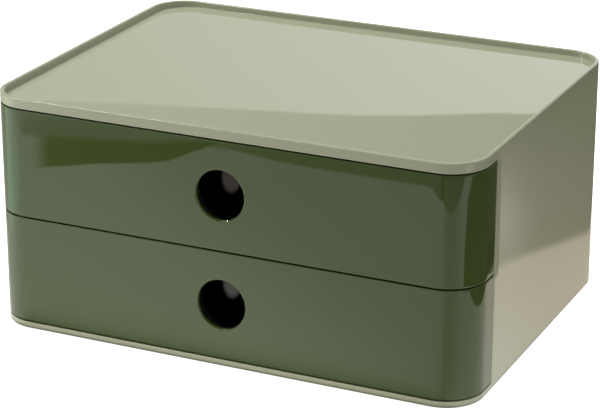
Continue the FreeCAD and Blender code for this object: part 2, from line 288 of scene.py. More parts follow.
# Skin: rim, tray floor, outer walls and base. The columns of its outline are split into the
# open front and the side walls behind it.
skin_front_y = wall_front_y + lip_round
skin = case_outline(skin_front_y)
inner = case_outline(wall_front_y)
right_end = 1
on_left = np.isclose(skin[0][:, 0], -half_x) & np.isclose(skin[0][:, 1], skin_front_y)
left_end = int(np.where(on_left)[0][0])
front = np.concatenate([np.arange(left_end, len(skin[0])), np.arange(0, right_end + 1)])
back_columns = np.where(np.isclose(skin[0][:, 1], half_y))[0]
right_rear = np.arange(right_end, back_columns[0] + 1)
left_rear = np.arange(back_columns[-1], left_end + 1)
grid_xs = spaced(corner_radius - half_x, half_x - corner_radius)

bend_up, bend_out = quarter_round().T
rise = roof_z + lip_round
fall = sill_z - lip_round
rim_profile = [(0, rise), (0, rise + rise_hold), (0, case_top - rim_round - rim_hold)]
rim_profile += list(zip(rim_round * bend_out, case_top - rim_round * bend_up))
rim_profile += list(zip(rim_wall - rim_round * bend_up, case_top - rim_round * bend_out))
rim_profile += [(rim_wall, case_top - rim_round - tray_hold),
                (rim_wall, tray_z + tray_fillet + tray_hold)]
rim_profile += list(zip(rim_wall + tray_fillet * bend_out, tray_z + tray_fillet * bend_up))
rim_profile += [(inset, tray_z) for inset in tray_insets]
lower_profile = [(0, fall)]
lower_profile += list(zip(base_round * bend_out, case_bottom + base_round * bend_up))
lower_profile += [(inset, case_bottom) for inset in base_insets]

wall_zs = np.concatenate([[rise, rise - wall_hold],
                          spaced(rise - wall_hold, fall + wall_hold)[1:], [fall]])
inner_zs = np.concatenate([[roof_z], wall_zs[1:-1], [sill_z]])
case_sheets = [
    tray_sag(wrapped(sweep(skin, rim_profile))),
    tray_sag(table(grid_xs, side_places(skin_front_y), tray_z)),
    wrapped(sweep(skin, lower_profile)),
    table(grid_xs, side_places(skin_front_y), case_bottom),
]
for columns in (right_rear, left_rear):
    wall_run = (skin[0][columns], skin[1][columns])
    inner_run = (inner[0][columns], inner[1][columns])
    case_sheets.append(sweep(wall_run, [(0, z) for z in wall_zs]))
    case_sheets.append(sweep(inner_run, [(case_wall, z) for z in inner_zs]))

# The mouth's lip: a quarter round that turns the skin in to the roof, the sill and the ends of
# the side walls, mitred at its four corners.
lip_rows = []
for outwards, inset in lip_round * quarter_round():
    end_y, top, low = wall_front_y + outwards, roof_z + outwards, sill_z - outwards
    base, normal = case_outline(end_y)
    run = (base[front], normal[front])
    ends = np.concatenate([[top], wall_zs[1:-1], [low]])
    sides = [post(side * (half_x - inset), end_y, ends) for side in (1, -1)]
    lip_rows.append([sweep(run, [(inset, top)])[0], sweep(run, [(inset, low)])[0]] + sides)
case_sheets += [np.stack(part) for part in zip(*lip_rows)]
mouth = (inner[0][front], inner[1][front])
case_sheets += [sweep(mouth, [(lip_round, z), (case_wall, z)]) for z in (roof_z, sill_z)]
for side in (1, -1):
    case_sheets.append(np.stack([post(side * (half_x - inset), wall_front_y, inner_zs)
                                 for inset in (lip_round, case_wall)]))

# Cavity: base and roof inside, and the low inner face of the sill.
case_sheets.append(wrapped(sweep(inner, [(case_wall, sill_z), (case_wall, base_z)])))
for z in (base_z, roof_z):
    profile = [(inset, z) for inset in (case_wall, cavity_inset, corner_radius)]
    case_sheets.append(wrapped(sweep(inner, profile)))
    case_sheets.append(table(grid_xs, side_places(wall_front_y), z))

# Window of the back wall: a shallow rebate for the cover round an opening with rounded corners.
back_xs = skin[0][back_columns, 0]
skin_loop = frame_loop(back_xs, wall_zs)
inner_loop = frame_loop(back_xs, inner_zs)


def window_ring(grow, y):
    """The window's outline in the plane y, larger by an amount on every side."""
    loop = rounded_window(skin_loop, window_half + grow, window_low - grow, window_high + grow,
                          window_corner + grow)
    return upright(loop, y)


rings = [window_ring(window_rebate + grow, half_y - inset)
         for grow, inset in window_round * quarter_round()]
rings += [window_ring(grow, half_y - inset) for grow, inset in
          ((window_rebate, rebate_depth), (0, rebate_depth), (0, case_wall))]
case_sheets.append(np.stack(rings))
case_sheets.append(between(upright(skin_loop, half_y), rings[0], back_shares))
case_sheets.append(between(upright(inner_loop, half_y - case_wall), rings[-1], (0, 1)))
case_moulding = weld("case_moulding", case_sheets)

# Finish of all mouldings: faint tone drift from the plastic's flow, the slow waviness of a
# cooled wall and a fine orange peel. Heights are in metres.
finish_numbers = ("Tone", "Gloss", "Gloss Drift", "Wave", "Peel", "Peel Scale")
flow_scale, flow_detail = 14.0, 3.0
slow_scale, slow_detail = 9.0, 1.0
grain_detail = 2.0
plastic_ior = 1.5


def add_node(tree, kind, links=None, **values):
    """A node with its inputs set to values or linked from other nodes' outputs."""
    node = tree.nodes.new(kind)
    for key, value in values.items():
        setattr(node, key, value)
    for socket, source in (links or {}).items():
        if isinstance(source, bpy.types.NodeSocket):
            tree.links.new(source, node.inputs[socket])
        else:
            node.inputs[socket].default_value = source
    return node


def calculated(tree, operation, *terms):
    """Result of a Math node on the terms."""
    return add_node(tree, "ShaderNodeMath", dict(enumerate(terms)), operation=operation).outputs[0]


def scaled(tree, color, share):
    """A colour times a number."""
    return add_node(tree, "ShaderNodeVectorMath", {0: color, "Scale": share},
                    operation="SCALE").outputs[0]


def mapped(tree, value, start, stop, low=0.0, high=1.0):
    """A value that runs from start to stop turned into one from low to high, held at both ends."""
    return add_node(tree, "ShaderNodeMapRange", {"Value": value, "From Min": start,
                    "From Max": stop, "To Min": low, "To Max": high}).outputs[0]


def axes(tree, kind):
    """X, Y and Z of the coordinates of one kind."""
    place = add_node(tree, "ShaderNodeTexCoord").outputs[kind]
    return add_node(tree, "ShaderNodeSeparateXYZ", {0: place}).outputs


def swing(tree, place, scale, detail):
    """Noise of a place less its middle value, so that it swings about zero."""
    noise = add_node(tree, "ShaderNodeTexNoise", {"Vector": place, "Scale": scale,
                     "Detail": detail}).outputs["Fac"]
    return calculated(tree, "SUBTRACT", noise, 0.5)


def moulded_finish_group():
    """Finish of a moulded surface from its Object coordinates.

    colour = given colour * (1 + tone * flow), roughness = gloss + gloss drift * flow and
    height = peel * grain + wave * slow, where flow, grain and slow are noises about zero.
    """
    tree = bpy.data.node_groups.new("moulded_finish", "ShaderNodeTree")
    face = tree.interface
    face.new_socket("Color", in_out="INPUT", socket_type="NodeSocketColor")
    for label in finish_numbers:
        face.new_socket(label, in_out="INPUT", socket_type="NodeSocketFloat")
    face.new_socket("Color", in_out="OUTPUT", socket_type="NodeSocketColor")
    for label in ("Roughness", "Height"):
        face.new_socket(label, in_out="OUTPUT", socket_type="NodeSocketFloat")
    given = tree.nodes.new("NodeGroupInput").outputs
    result = tree.nodes.new("NodeGroupOutput").inputs
    place = tree.nodes.new("ShaderNodeTexCoord").outputs["Object"]
    flow = swing(tree, place, flow_scale, flow_detail)
    grain = swing(tree, place, given["Peel Scale"], grain_detail)
    slow = swing(tree, place, slow_scale, slow_detail)

    def portion(noise, label):
        """A noise times one of the group's numbers."""
        return calculated(tree, "MULTIPLY", noise, given[label])

    tone = calculated(tree, "ADD", portion(flow, "Tone"), 1.0)
    rough = calculated(tree, "ADD", portion(flow, "Gloss Drift"), given["Gloss"])
    height = calculated(tree, "ADD", portion(grain, "Peel"), portion(slow, "Wave"))
    tree.links.new(scaled(tree, given["Color"], tone), result["Color"])
    tree.links.new(rough, result["Roughness"])
    tree.links.new(height, result["Height"])
    return tree


moulded_finish = moulded_finish_group()


def finished(name, color, tone, gloss, drift, wave, peel, peel_scale, metallic=0.0):
    """Principled material whose colour, roughness and bump come from the shared finish."""
    material = bpy.data.materials.new(name)
    material.use_nodes = True
    tree = material.node_tree
    shader = tree.nodes["Principled BSDF"]
    shader.inputs["IOR"].default_value = plastic_ior
    shader.inputs["Metallic"].default_value = metallic
    finish = tree.nodes.new("ShaderNodeGroup")
    finish.node_tree = moulded_finish
    finish.inputs["Color"].default_value = (*color, 1)
    for label, value in zip(finish_numbers, (tone, gloss, drift, wave, peel, peel_scale)):
        finish.inputs[label].default_value = value
    bump = add_node(tree, "ShaderNodeBump", {"Strength": 1.0, "Distance": 1.0,
                                             "Height": finish.outputs["Height"]})
    tree.links.new(finish.outputs["Color"], shader.inputs["Base Color"])
    tree.links.new(finish.outputs["Roughness"], shader.inputs["Roughness"])
    tree.links.new(bump.outputs["Normal"], shader.inputs["Normal"])
    return material


sage = finished("sage_gloss", color=(0.36, 0.372, 0.254), tone=0.03, gloss=0.012, drift=0.004,
                wave=12e-6, peel=0.1e-6, peel_scale=500)

# Painted contact shade: the case's colour is darker along its bottom edge, just over the desk.
painted_shade_low, painted_shade_high, painted_shade_darkest = 2.2 * mm, 4.0 * mm, 0.3
sage_tree = sage.node_tree
sage_base = sage_tree.nodes["Principled BSDF"].inputs["Base Color"]
sage_height = axes(sage_tree, "Object")["Z"]
painted_shade = mapped(sage_tree, sage_height, painted_shade_low, painted_shade_high, painted_shade_darkest, 1.0)
sage_tree.links.new(scaled(sage_tree, sage_base.links[0].from_socket, painted_shade), sage_base)
case_moulding.data.materials.append(sage)
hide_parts("case_shell")
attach(case_moulding, "case")

# ---- Feet
# Four round pads of matt black rubber that keep the box from sliding on the desk. They are
# glued into shallow recesses under the case.
rubber = finished("foot_rubber", color=(0.018, 0.018, 0.018), tone=0.1, gloss=0.7, drift=0.1,
                  wave=0, peel=30e-6, peel_scale=1500)


def finish_node(name, material):
    """One of the solid parts as it comes, in one material."""
    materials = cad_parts[name].data.materials
    materials.clear()
    materials.append(material)


for place in ("front_left", "front_right", "rear_left", "rear_right"):
    finish_node("foot_" + place, rubber)

# ---- Runner panels and divider shelf
# Satin dark grey mouldings inside the case: a panel on each side with the runners and guides
# of both drawers, and a shelf between the drawers that lies on the panels' ledges.
dark = finished("dark_satin", color=(0.020, 0.020, 0.021), tone=0.06, gloss=0.30, drift=0.05,
                wave=20e-6, peel=6e-6, peel_scale=900)
for name in ("runner_panel_left", "runner_panel_right", "divider_shelf"):
    finish_node(name, dark)

# ---- Rear cover
# A plate of the same sage ABS as the case, which sits in the rebate of the back window and
# snaps in with six hooks.
finish_node("rear_cover", sage)

# ---- Drawer fronts
# Each front is one glossy moulding in olive green ABS that wraps round both corners of the
# case. It has a finger hole with a rounded rim, and a flange at the top and bottom that
# meets the drawer's tub.
front_wall = 2.2 * mm
front_round = 0.3 * mm
front_hold = 0.9 * mm
front_flange = 1.8 * mm
flange_end_y = -half_y + 7.2 * mm
flange_lean = math.sin(math.radians(63))
hole_radius = 12.8 * mm
hole_round = 0.8 * mm
hole_back_round = 0.3 * mm
hole_rise = 0.4 * mm
sink_depth, sink_width = 0.18 * mm, 24 * mm
sink_reach, sink_fade = 1.2 * mm, 30 * mm
hole_patch = 27 * mm
front_step, patch_step = 3 * mm, 2.5 * mm
patch_rings, patch_crowding = 12, 1.6
hair = 1e-6
olive = finished("olive_gloss", color=(0.048, 0.071, 0.016), tone=0.04, gloss=0.02, drift=0.006,
                 wave=20e-6, peel=0.15e-6, peel_scale=500)


def closed_rows(rings):
    """Rings of points as the rows of a grid that closes on itself."""
    return wrapped(np.stack(rings))


def hole_ring(loop, radius, y, centre_z):
    """Circle in the plane y: on it, one point on the way from its centre to each of the loop."""
    angle = np.arctan2(loop[:, 2] - centre_z, loop[:, 0])
    return np.stack([radius * np.cos(angle), np.full(len(loop), y),
                     centre_z + radius * np.sin(angle)], 1)


def front_sink(rows, centre_z):
    """The skin sinks a little round the finger hole.

    y + depth * exp(-(distance from the hole / width)^2), on the skin and its edges only, and
    fading out before the corners.
    """
    x, y, z = rows[..., 0], rows[..., 1], rows[..., 2]
    on_skin = np.clip(1 - (y + half_y) / sink_reach, 0, 1)
    fade = np.clip((half_x - corner_radius - np.abs(x)) / sink_fade, 0, 1)
    square = (x ** 2 + (z - centre_z) ** 2) / sink_width ** 2
    sunk = rows.copy()
    sunk[..., 1] += on_skin * fade * sink_depth * np.exp(-square)
    return sunk


def drawer_front(name, node, body):
    """A drawer front welded from its skin, its back, the rounds, the hole and the flanges.

    Skin and back are base - inset * normal along a run round both corners, at heights z. A
    square patch of each grid goes over into the hole's circle: patch (1 - t) + circle t. A
    flange's inner edge lies where the way from the skin meets the plane flange_end_y.
    """
    low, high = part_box(node)
    z0, z1, end_y = low.z, high.z, high.y
    centre_z = (z0 + z1) / 2 + hole_rise
    cx, cy = half_x - corner_radius, half_y - corner_radius
    side_ys = np.concatenate([[end_y], spaced(end_y - front_hold, -cy, front_step)])
    xs = np.concatenate([spaced(-cx, -hole_patch, front_step),
                         spaced(-hole_patch, hole_patch, patch_step)[1:-1],
                         spaced(hole_patch, cx, front_step)])
    run = chain([
        line_run(-half_x, side_ys, (-1, 0)), arc_run(-cx, -cy, corner_radius, 180),
        line_run(xs, -half_y, (0, -1)), arc_run(cx, -cy, corner_radius, 270),
        line_run(half_x, side_ys[::-1], (1, 0)),
    ], closed=False)
    base, normal = run
    zs = np.concatenate([[z1, z1 - front_hold],
                         spaced(z1 - front_flange, z0 + front_flange, patch_step),
                         [z0 + front_hold, z0]])
    patch_rows = slice(2, len(zs) - 2)
    patch = np.where(np.isclose(base[:, 1], -half_y)
                     & (np.abs(base[:, 0]) <= hole_patch + hair))[0]
    c0, c1 = patch[0], patch[-1]

    def plate(shrink, inset, heights):
        """Grid over the bent plate at one inset, its four edges drawn in by shrink."""
        drawn = base.copy()
        drawn[:, 1] = np.minimum(drawn[:, 1], end_y - shrink)
        within = np.clip(heights, z0 + shrink, z1 - shrink)
        return sweep((drawn, normal), [(inset, z) for z in within])

    outer = plate(front_round, 0, zs)
    inside = plate(0, front_wall, zs[patch_rows])
    outer_patch = border(outer[patch_rows, c0:c1 + 1])
    inside_patch = border(inside[:, c0:c1 + 1])
    sheets = [outer[:, :c0 + 1], outer[:, c1:], outer[:3, c0:c1 + 1], outer[-3:, c0:c1 + 1],
              inside[:, :c0 + 1], inside[:, c1:]]
    rim = quarter_round()
    sheets.append(closed_rows([border(plate(front_round * s, front_round * c, zs))
                               for s, c in rim]))
    mouth = [hole_ring(outer_patch, hole_radius + hole_round * s,
                       -half_y + hole_round * c, centre_z) for s, c in rim]
    spread = 1 - (1 - np.linspace(0, 1, patch_rings)) ** patch_crowding
    sheets.append(closed_rows([outer_patch * (1 - t) + mouth[0] * t for t in spread]))
    mouth += [hole_ring(inside_patch, hole_radius + hole_back_round * s,
                        front_wall - half_y - hole_back_round * c, centre_z)
              for s, c in rim[::-1]]
    sheets.append(closed_rows(mouth + [inside_patch]))

    for column in (0, -1):
        sheets.append(np.stack([plate(0, inset, zs)[:, column]
                                for inset in (front_round, front_wall)]))
    flanged = np.where((np.abs(normal[:, 1]) > flange_lean) & (base[:, 1] < -cy))[0]
    f0, f1 = flanged[0], flanged[-1]
    lean = np.maximum(np.abs(normal[:, 1]), flange_lean)
    reach = base - (corner_radius - (-cy - flange_end_y) / lean)[:, None] * normal
    for z, inwards in ((z1, -1), (z0, 1)):
        heights = (z, z + inwards * front_hold, z + inwards * front_flange)
        wall_rows = sweep(run, [(front_wall, h) for h in heights])
        reach_rows = sweep((reach, normal), [(0, h) for h in heights])
        flange_rows = np.concatenate([wall_rows[:1], reach_rows, wall_rows[-1:]])
        sheets.append(sweep(run, [(front_round, z), (front_wall, z)]))
        sheets += [wall_rows[:, :f0 + 1], wall_rows[:, f1:], flange_rows[:, f0:f1 + 1]]
        sheets += [np.stack([wall_rows[:, c], reach_rows[:, c]]) for c in (f0, f1)]
    piece = weld(name, [front_sink(rows, centre_z) for rows in sheets])
    piece.data.materials.append(olive)
    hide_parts(node)
    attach(piece, body)


for level in ("lower", "upper"):
    drawer_front(level + "_front", level + "_drawer_front", level + "_drawer")

# ---- Drawer tubs
# Each tub is a satin dark grey moulding: drafted walls, a rounded floor edge, a flange on both
# sides and behind that hangs on the runners, and a wedge on each side that stops the drawer.
tub_wall = 1.8 * mm
tub_draft = 1.2 * mm
tub_corner = 12 * mm
tub_half = 118.5 * mm
tub_front_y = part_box("lower_drawer_tub")[0].y
tub_back_y = 90 * mm
tub_floor_round = 3 * mm
tub_under_round = 1.4 * mm
tub_rim_round = 0.3 * mm
tub_flange = 1.8 * mm
flange_start = 4.3 * mm
flange_corner = 4 * mm
flange_half = 123.8 * mm
flange_back_y = 91.2 * mm
tub_hole_radius = 15.4 * mm
tub_hole_rise = 1.05 * mm
lug_root = tub_half - tub_wall / 2 - tub_draft / 4
lug_tip = tub_half + 3.5 * mm
lug_y, lug_length = 59 * mm, 8 * mm
lug_drop, lug_height = 4.7 * mm, 5 * mm
tub_patch_x, tub_patch_z = 20 * mm, 18.4 * mm
side_points, flange_points = 16, 8
tub_corner_steps, tub_back_step = 12, 0.05
under_steps, floor_steps, tub_rim_steps = 4, 5, 3


def tub_loop(half, front_y, back_y, radius):
    """Plan of a tub wall: points, the draft's direction and the direction square to the wall."""
    start = front_y + flange_start
    ys = np.concatenate([[front_y, start],
                         np.linspace(start, start + flange_corner, flange_points + 1)[1:],
                         np.linspace(start + flange_corner, back_y - radius, side_points)[1:]])
    side_x = np.linspace(half, tub_patch_x, side_points)
    xs = np.concatenate([-side_x, spaced(-tub_patch_x, tub_patch_x, patch_step)[1:-1],
                         side_x[::-1]])
    cx, cy = half - radius, back_y - radius
    base, normal = chain([
        line_run(half, ys, (1, 0)), arc_run(cx, cy, radius, 0, count=tub_corner_steps),
        line_run(spaced(1, -1, tub_back_step) * cx, back_y, (0, 1)),
        arc_run(-cx, cy, radius, 90, count=tub_corner_steps),
        line_run(-half, ys[::-1], (-1, 0)), line_run(xs, front_y, (0, -1)),
    ], closed=True)
    at_front = np.isclose(base[:, 1], front_y)
    at_end = at_front & np.isclose(np.abs(base[:, 0]), half)
    side = np.sign(base[:, 0])
    square = np.where(at_end[:, None], np.stack([side, np.full(len(base), -1.0)], 1), normal)
    draft = np.where(at_front[:, None], np.stack([side * at_end, np.zeros(len(base))], 1), normal)
    return base, draft, square


def flange_edge(outer):
    """Plan of the flange's outer edge, with one point for each point of the wall's plan.

    Each side starts as a fillet, centre + R (sin a, -cos a), and runs on along x = flange_half.
    Behind, the wall's plan is moved back and stretched in x between its corners.
    """
    base = outer[0]
    start = tub_front_y + flange_start
    bend = np.linspace(0, math.pi / 2, flange_points)
    fillet = np.stack([flange_half - flange_corner * (1 - np.sin(bend)),
                       start + flange_corner * (1 - np.cos(bend))], 1)
    flange = base.copy()
    fillet_end = start + flange_corner
    for side in (1, -1):
        on_side = np.where((np.sign(base[:, 0]) == side) & (base[:, 1] > start + hair)
                           & np.isclose(np.abs(base[:, 0]), tub_half))[0][::side]
        flange[on_side[:flange_points]] = fillet * [side, 1]
        rest = on_side[flange_points:]
        share = (base[rest, 1] - fillet_end) / (tub_back_y - tub_corner - fillet_end)
        ys = fillet_end + share * (flange_back_y - tub_corner - fillet_end)
        flange[rest] = np.stack([np.full(len(rest), side * flange_half), ys], 1)
    behind = base[:, 1] > tub_back_y - tub_corner + hair
    stretch = (flange_half - tub_corner) / (tub_half - tub_corner)
    middle_x = np.clip(base[:, 0], tub_corner - tub_half, tub_half - tub_corner)
    moved = np.stack([middle_x * stretch + base[:, 0] - middle_x,
                      base[:, 1] + flange_back_y - tub_back_y], 1)
    flange[behind] = moved[behind]
    return flange


def drawer_tub(name, node, body):
    """A tub welded from its walls inside and out, its floor, the flange, the hole in its front
    wall and the two wedges."""
    low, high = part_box(node)
    z0, z1 = low.z, high.z
    floor_z = z0 + tub_wall
    centre_z = (z0 + z1) / 2 + tub_hole_rise
    patch_zs = spaced(centre_z + tub_patch_z, centre_z - tub_patch_z, patch_step)
    outer = tub_loop(tub_half, tub_front_y, tub_back_y, tub_corner)
    inside = tub_loop(tub_half - tub_wall, tub_front_y + tub_wall, tub_back_y - tub_wall,
                      tub_corner - tub_wall)
    flange = flange_edge(outer)
    flange_stands = np.linalg.norm(flange - outer[0], axis=1) > hair

    def at_height(flat, z):
        """Plan points set at a height."""
        return np.concatenate([flat, np.full((len(flat), 1), z)], 1)

    def ring(loop, drafted, inset, z):
        """Wall's plan at one height: base - drafted * draft direction - inset * square."""
        base, draft, square = loop
        return at_height(base - drafted * draft - inset * square, z)

    def taper(z, foot):
        """Draft at a height: 0 in the flange, below it tub_draft * (z1 - z) / (z1 - foot)."""
        return 0 if z > z1 - tub_flange / 2 else tub_draft * (z1 - z) / (z1 - foot)

    def flange_ring(drawn, z):
        """Flange's edge at one height, drawn in square to the wall where it stands off it."""
        return at_height(flange - np.where(flange_stands[:, None], drawn * outer[2], 0), z)

    def wall(loop, heights, foot):
        """Rows of a wall down to its foot, where it has its full draft."""
        rows = [ring(loop, taper(z, foot), 0, z) for z in heights[:-1]]
        return np.stack(rows + [ring(loop, tub_draft, 0, heights[-1])])

    def fan(row, z):
        """A ring shrunk to its middle at one height: row (1 - t) + middle t."""
        middle = np.broadcast_to(np.array([0, 0, z]), row.shape)
        return np.stack([row * (1 - t) + middle * t for t in (0, 0.5, 1)])

    outer_wall = wall(outer, [z1 - tub_flange, *patch_zs, z0 + tub_under_round], z0)
    inner_wall = wall(inside, [z1 - tub_rim_round, *patch_zs, floor_z + tub_floor_round], floor_z)
    under_rows = [ring(outer, tub_draft + s, 0, z0 + c)
                  for s, c in tub_under_round * quarter_round(under_steps)]
    floor_rows = [ring(inside, tub_draft, c, floor_z + s)
                  for s, c in tub_floor_round * quarter_round(floor_steps)]
    rim = tub_rim_round * quarter_round(tub_rim_steps)
    top_rows = [outer_wall[0], flange_ring(0, z1 - tub_flange)]
    top_rows += [flange_ring(c, z1 - s) for s, c in rim]
    top_rows += [ring(inside, 0, -s, z1 - c) for s, c in rim]

    patch = np.where(np.isclose(outer[0][:, 1], tub_front_y)
                     & (np.abs(outer[0][:, 0]) <= tub_patch_x + hair))[0]
    c0, c1 = patch[0], patch[-1]
    sheets, hole_edges = [], []
    for rows, y in ((outer_wall, tub_front_y), (inner_wall, tub_front_y + tub_wall)):
        round_rows = wrapped(rows)
        loop = border(rows[1:-1, c0:c1 + 1])
        hole_edges.append(hole_ring(loop, tub_hole_radius, y, centre_z))
        sheets += [round_rows[:, :c0 + 1], round_rows[:, c1:], rows[:2, c0:c1 + 1],
                   rows[-2:, c0:c1 + 1], closed_rows([loop, hole_edges[-1]])]
    sheets += [closed_rows(rows) for rows in (hole_edges, top_rows, under_rows, floor_rows)]
    sheets += [wrapped(fan(under_rows[0], z0)), wrapped(fan(floor_rows[-1], floor_z))]
    for side in (1, -1):
        plan = np.array([(side * lug_root, lug_y), (side * lug_tip, lug_y),
                         (side * lug_root, lug_y + lug_length)])
        upper, lower = at_height(plan, z1 - lug_drop), at_height(plan, z1 - lug_drop - lug_height)
        sheets.append(closed_rows([upper[[0, 0, 0]], upper, lower, lower[[0, 0, 0]]]))
    piece = weld(name, sheets)
    piece.data.materials.append(dark)
    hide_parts(node)
    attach(piece, body)
    return piece


drawer_tubs = [drawer_tub(level + "_tub", level + "_drawer_tub", level + "_drawer")
               for level in ("lower", "upper")]

# ---- Screws
# Two zinc-plated self-tapping screws hold each front to its tub. They pass through the tub's
# wall into bosses behind the front.
steel = finished("screw_steel", color=(0.55, 0.54, 0.52), tone=0.05, gloss=0.3, drift=0.1,
                 wave=0, peel=4e-6, peel_scale=2500, metallic=1.0)
for level in ("lower", "upper"):
    finish_node(level + "_drawer_screws", steel)

# ---- Studio
# Pale floor, white surroundings, a soft key lamp from the upper left and small lamps for
# glints and for the drawers' insides. A card that only reflections and soft light see stands
# for a white table that ends near the box.
floor_places = (-6.0, 6.0)
floor_mesh = bpy.data.meshes.new("floor")
floor_mesh.from_pydata(table(floor_places, floor_places, 0).reshape(-1, 3), [],
                       grid_faces((2, 2)))
floor = placed("floor", floor_mesh)
pale = bpy.data.materials.new("pale_floor")
pale.use_nodes = True
pale_shader = pale.node_tree.nodes["Principled BSDF"]
pale_shader.inputs["Roughness"].default_value = 0.8
pale_shader.inputs["Base Color"].default_value = (0.44, 0.44, 0.44, 1)
pale_shader.inputs["Emission Color"].default_value = (1, 1, 1, 1)
pale_white = 1.1
pale_path = add_node(pale.node_tree, "ShaderNodeLightPath")
pale_glow = calculated(pale.node_tree, "MULTIPLY", pale_path.outputs["Is Camera Ray"], pale_white)
pale.node_tree.links.new(pale_glow, pale_shader.inputs["Emission Strength"])
floor_mesh.materials.append(pale)


# The reflected table, where plain white has a brightness of about 1. Places are in mm, with x
# to the right and -y ahead of the fronts. A line is (place, level there, slope), a soft change
# is (edge, width), and a region is a change in x and one in y.
table_front_limit = -381
table_front_line, table_front_blur = (107, -394, 0.49), 5
table_left_x = -150
table_left_line, table_left_blur = (-256, -365, -0.28), 16
table_side_line, side_slant = (87, 184, -0.45), 1.1
side_blur_ys, side_blurs = (75, 95), (5, 14)
side_bend_y, side_bend = -107, 0.64
notch_y, notch_width, notch_depth = 74, 9, 6.5
side_start_y, side_start_right_x, side_start_blur = -178, 396, 8
side_start_left_x, side_start_slope = 320, 0.4


def soft_step(value, edge, width):
    """0 below the edge, 1 above it, with a smooth change over the width."""
    t = np.clip((value - edge) / width + 0.5, 0, 1)
    return t * t * (3 - 2 * t)


def line_at(value, place, level, slope):
    """Straight line: level + slope (value - place)."""
    return level + slope * (value - place)


def table_edges(x, y):
    """The y of the table's front edge, the share on its top and the share past its right side.

    The front edge is level, rises to the right and at its left end runs on slanted. The side
    edge slants to the left going back, with a notch exp(-((y - place) / width)^2).
    """
    at_left = x < table_left_x
    front_edge = np.maximum(table_front_limit, line_at(x, *table_front_line))
    front_edge = np.where(at_left, line_at(x, *table_left_line), front_edge)
    front_blur = np.where(at_left, table_left_blur, table_front_blur)
    notch = notch_depth * np.exp(-((y - notch_y) / notch_width) ** 2)
    side_edge = line_at(y, *table_side_line) - notch + side_bend * np.minimum(y - side_bend_y, 0)
    side_start = side_start_y + np.maximum(x - side_start_right_x, 0)
    side_start = side_start + side_start_slope * np.maximum(side_start_left_x - x, 0)
    beyond_side = soft_step((x - side_edge) / side_slant, 0, np.interp(y, side_blur_ys, side_blurs))
    beyond_side = beyond_side * soft_step(y, side_start, side_start_blur)
    on_table = soft_step(y, front_edge, front_blur) * (1 - beyond_side)
    return front_edge, on_table, beyond_side


ahead_level, ahead_gain, ahead_line, ahead_blur = 1.05, 0.45, (0, 212, 1.13), 150
beside_level, beside_gain, beside_line, beside_blur = 0.88, 0.17, (0, 143, 0.3), 30
corner_x, corner_y = 110, 77.5
fan_dark, fan_from, fan_to, fan_start = 0.4, (12, 16), (46, 36), (110, 30)
strip_dark, strip_blur, strip_start_line, strip_start_blur = 0.95, 2, (-316, -234, 0.6), 16
strip_xs = (-260, -228, -204, -178, -164, -158, -150)
strip_ys = (-289, -315, -333, -346, -354, -366, -385)


def table_top(x, y, near_side):
    """Brightness of the table's top.

    Ahead of the box it grows to the left and towards the box, beside the box to the right. It
    is darker in a fan of bearings (in degrees) from the right front corner, and in a strip
    along the slanted edge.
    """
    ahead = ahead_level + ahead_gain * soft_step(line_at(y, *ahead_line) - x, 0, ahead_blur)
    beside = beside_level + beside_gain * soft_step(x - line_at(y, *beside_line), 0, beside_blur)
    bearing = np.degrees(np.arctan2(x - corner_x, -(y + corner_y)))
    fan = soft_step(bearing, *fan_from) * (1 - soft_step(bearing, *fan_to))
    fan = fan_dark * fan * soft_step(-y, *fan_start)
    strip = soft_step(np.interp(x, strip_xs, strip_ys) - y, 0, strip_blur) * (x < 0)
    strip = strip_dark * strip * soft_step(x, line_at(y, *strip_start_line), strip_start_blur)
    return (ahead + (beside - ahead) * near_side) * (1 - fan) * (1 - strip)


past_front_level = 0.28
past_front_steps = ((1, 105, 30, -0.24), (-1, 150, 60, 0.32), (-1, 290, 60, 0.7))
margin_level, margin_start, margin_end = 0.25, (150, 40), (62, 20)
past_side_level, past_side_gain = 0.03, 0.05
past_side_normal, past_side_change = (0.9, 0.41), (30, 40)
patch_line, patch_blur, patch_level, patch_gain = (94, 186.5, 0.372), 2, 0.1, 0.5
patch_width, patch_y, patch_length = 16, 150, 80


def past_front_edge(x, y, front_edge):
    """Brightness ahead of the table: dark at the right, where a lighter margin runs along the
    edge, and lighter in three steps to the left."""
    steps = sum(gain * soft_step(way * x, edge, width)
                for way, edge, width, gain in past_front_steps)
    margin = soft_step(x, *margin_start) * (1 - soft_step(front_edge - y, *margin_end))
    return past_front_level + steps + margin_level * margin


def past_side_edge(x, y):
    """Brightness to the right of the table: dark, a little less so further out.

    To the left of a line there is a lighter patch: exp(-(distance from the line / width)^2
    - ((y - place) / length)^2).
    """
    edge_y, edge_x = table_side_line[:2]
    outwards = (x - edge_x) * past_side_normal[0] + (y - edge_y) * past_side_normal[1]
    inside = line_at(y, *patch_line) - x
    patch = np.exp(-(inside / patch_width) ** 2 - ((y - patch_y) / patch_length) ** 2)
    patch = soft_step(inside, 0, patch_blur) * (patch_level + patch_gain * patch)
    return past_side_level + past_side_gain * soft_step(outwards, *past_side_change) + patch


near_side_change = (-90, 80)
warm_region, warm_tint = ((100, 80), (0, 80)), (0.05, -0.05, -0.12)
leafy_region, leafy_tint = ((262, 40), (-300, 80)), (0.06, 0.32, 0.12)
deep_region, deep_tint = ((150, 30), (300, 120)), (-0.5, -0.05, -0.4)
near_side_tint = (0, -0.02, -0.08)
far_left_region, far_left_dark = ((245, 40), (-45, 60)), 0.35
deep_dark, deep_dark_change = 0.35, (238, 16)
# Painted contact shadow of the box on the card: it is darker just ahead of the box's foot.
contact_shadow_half, contact_shadow_stretch, contact_shadow_hold, contact_shadow_length, contact_shadow_start = 120, 4, 8, 9, (85, 30)
lift_level, lift_ahead, lift_length = 1.12, 0.2, 2


def region(x, y, x_change, y_change):
    """Share of a place in a region: the product of its soft changes in x and y."""
    return soft_step(x, *x_change) * soft_step(y, *y_change)


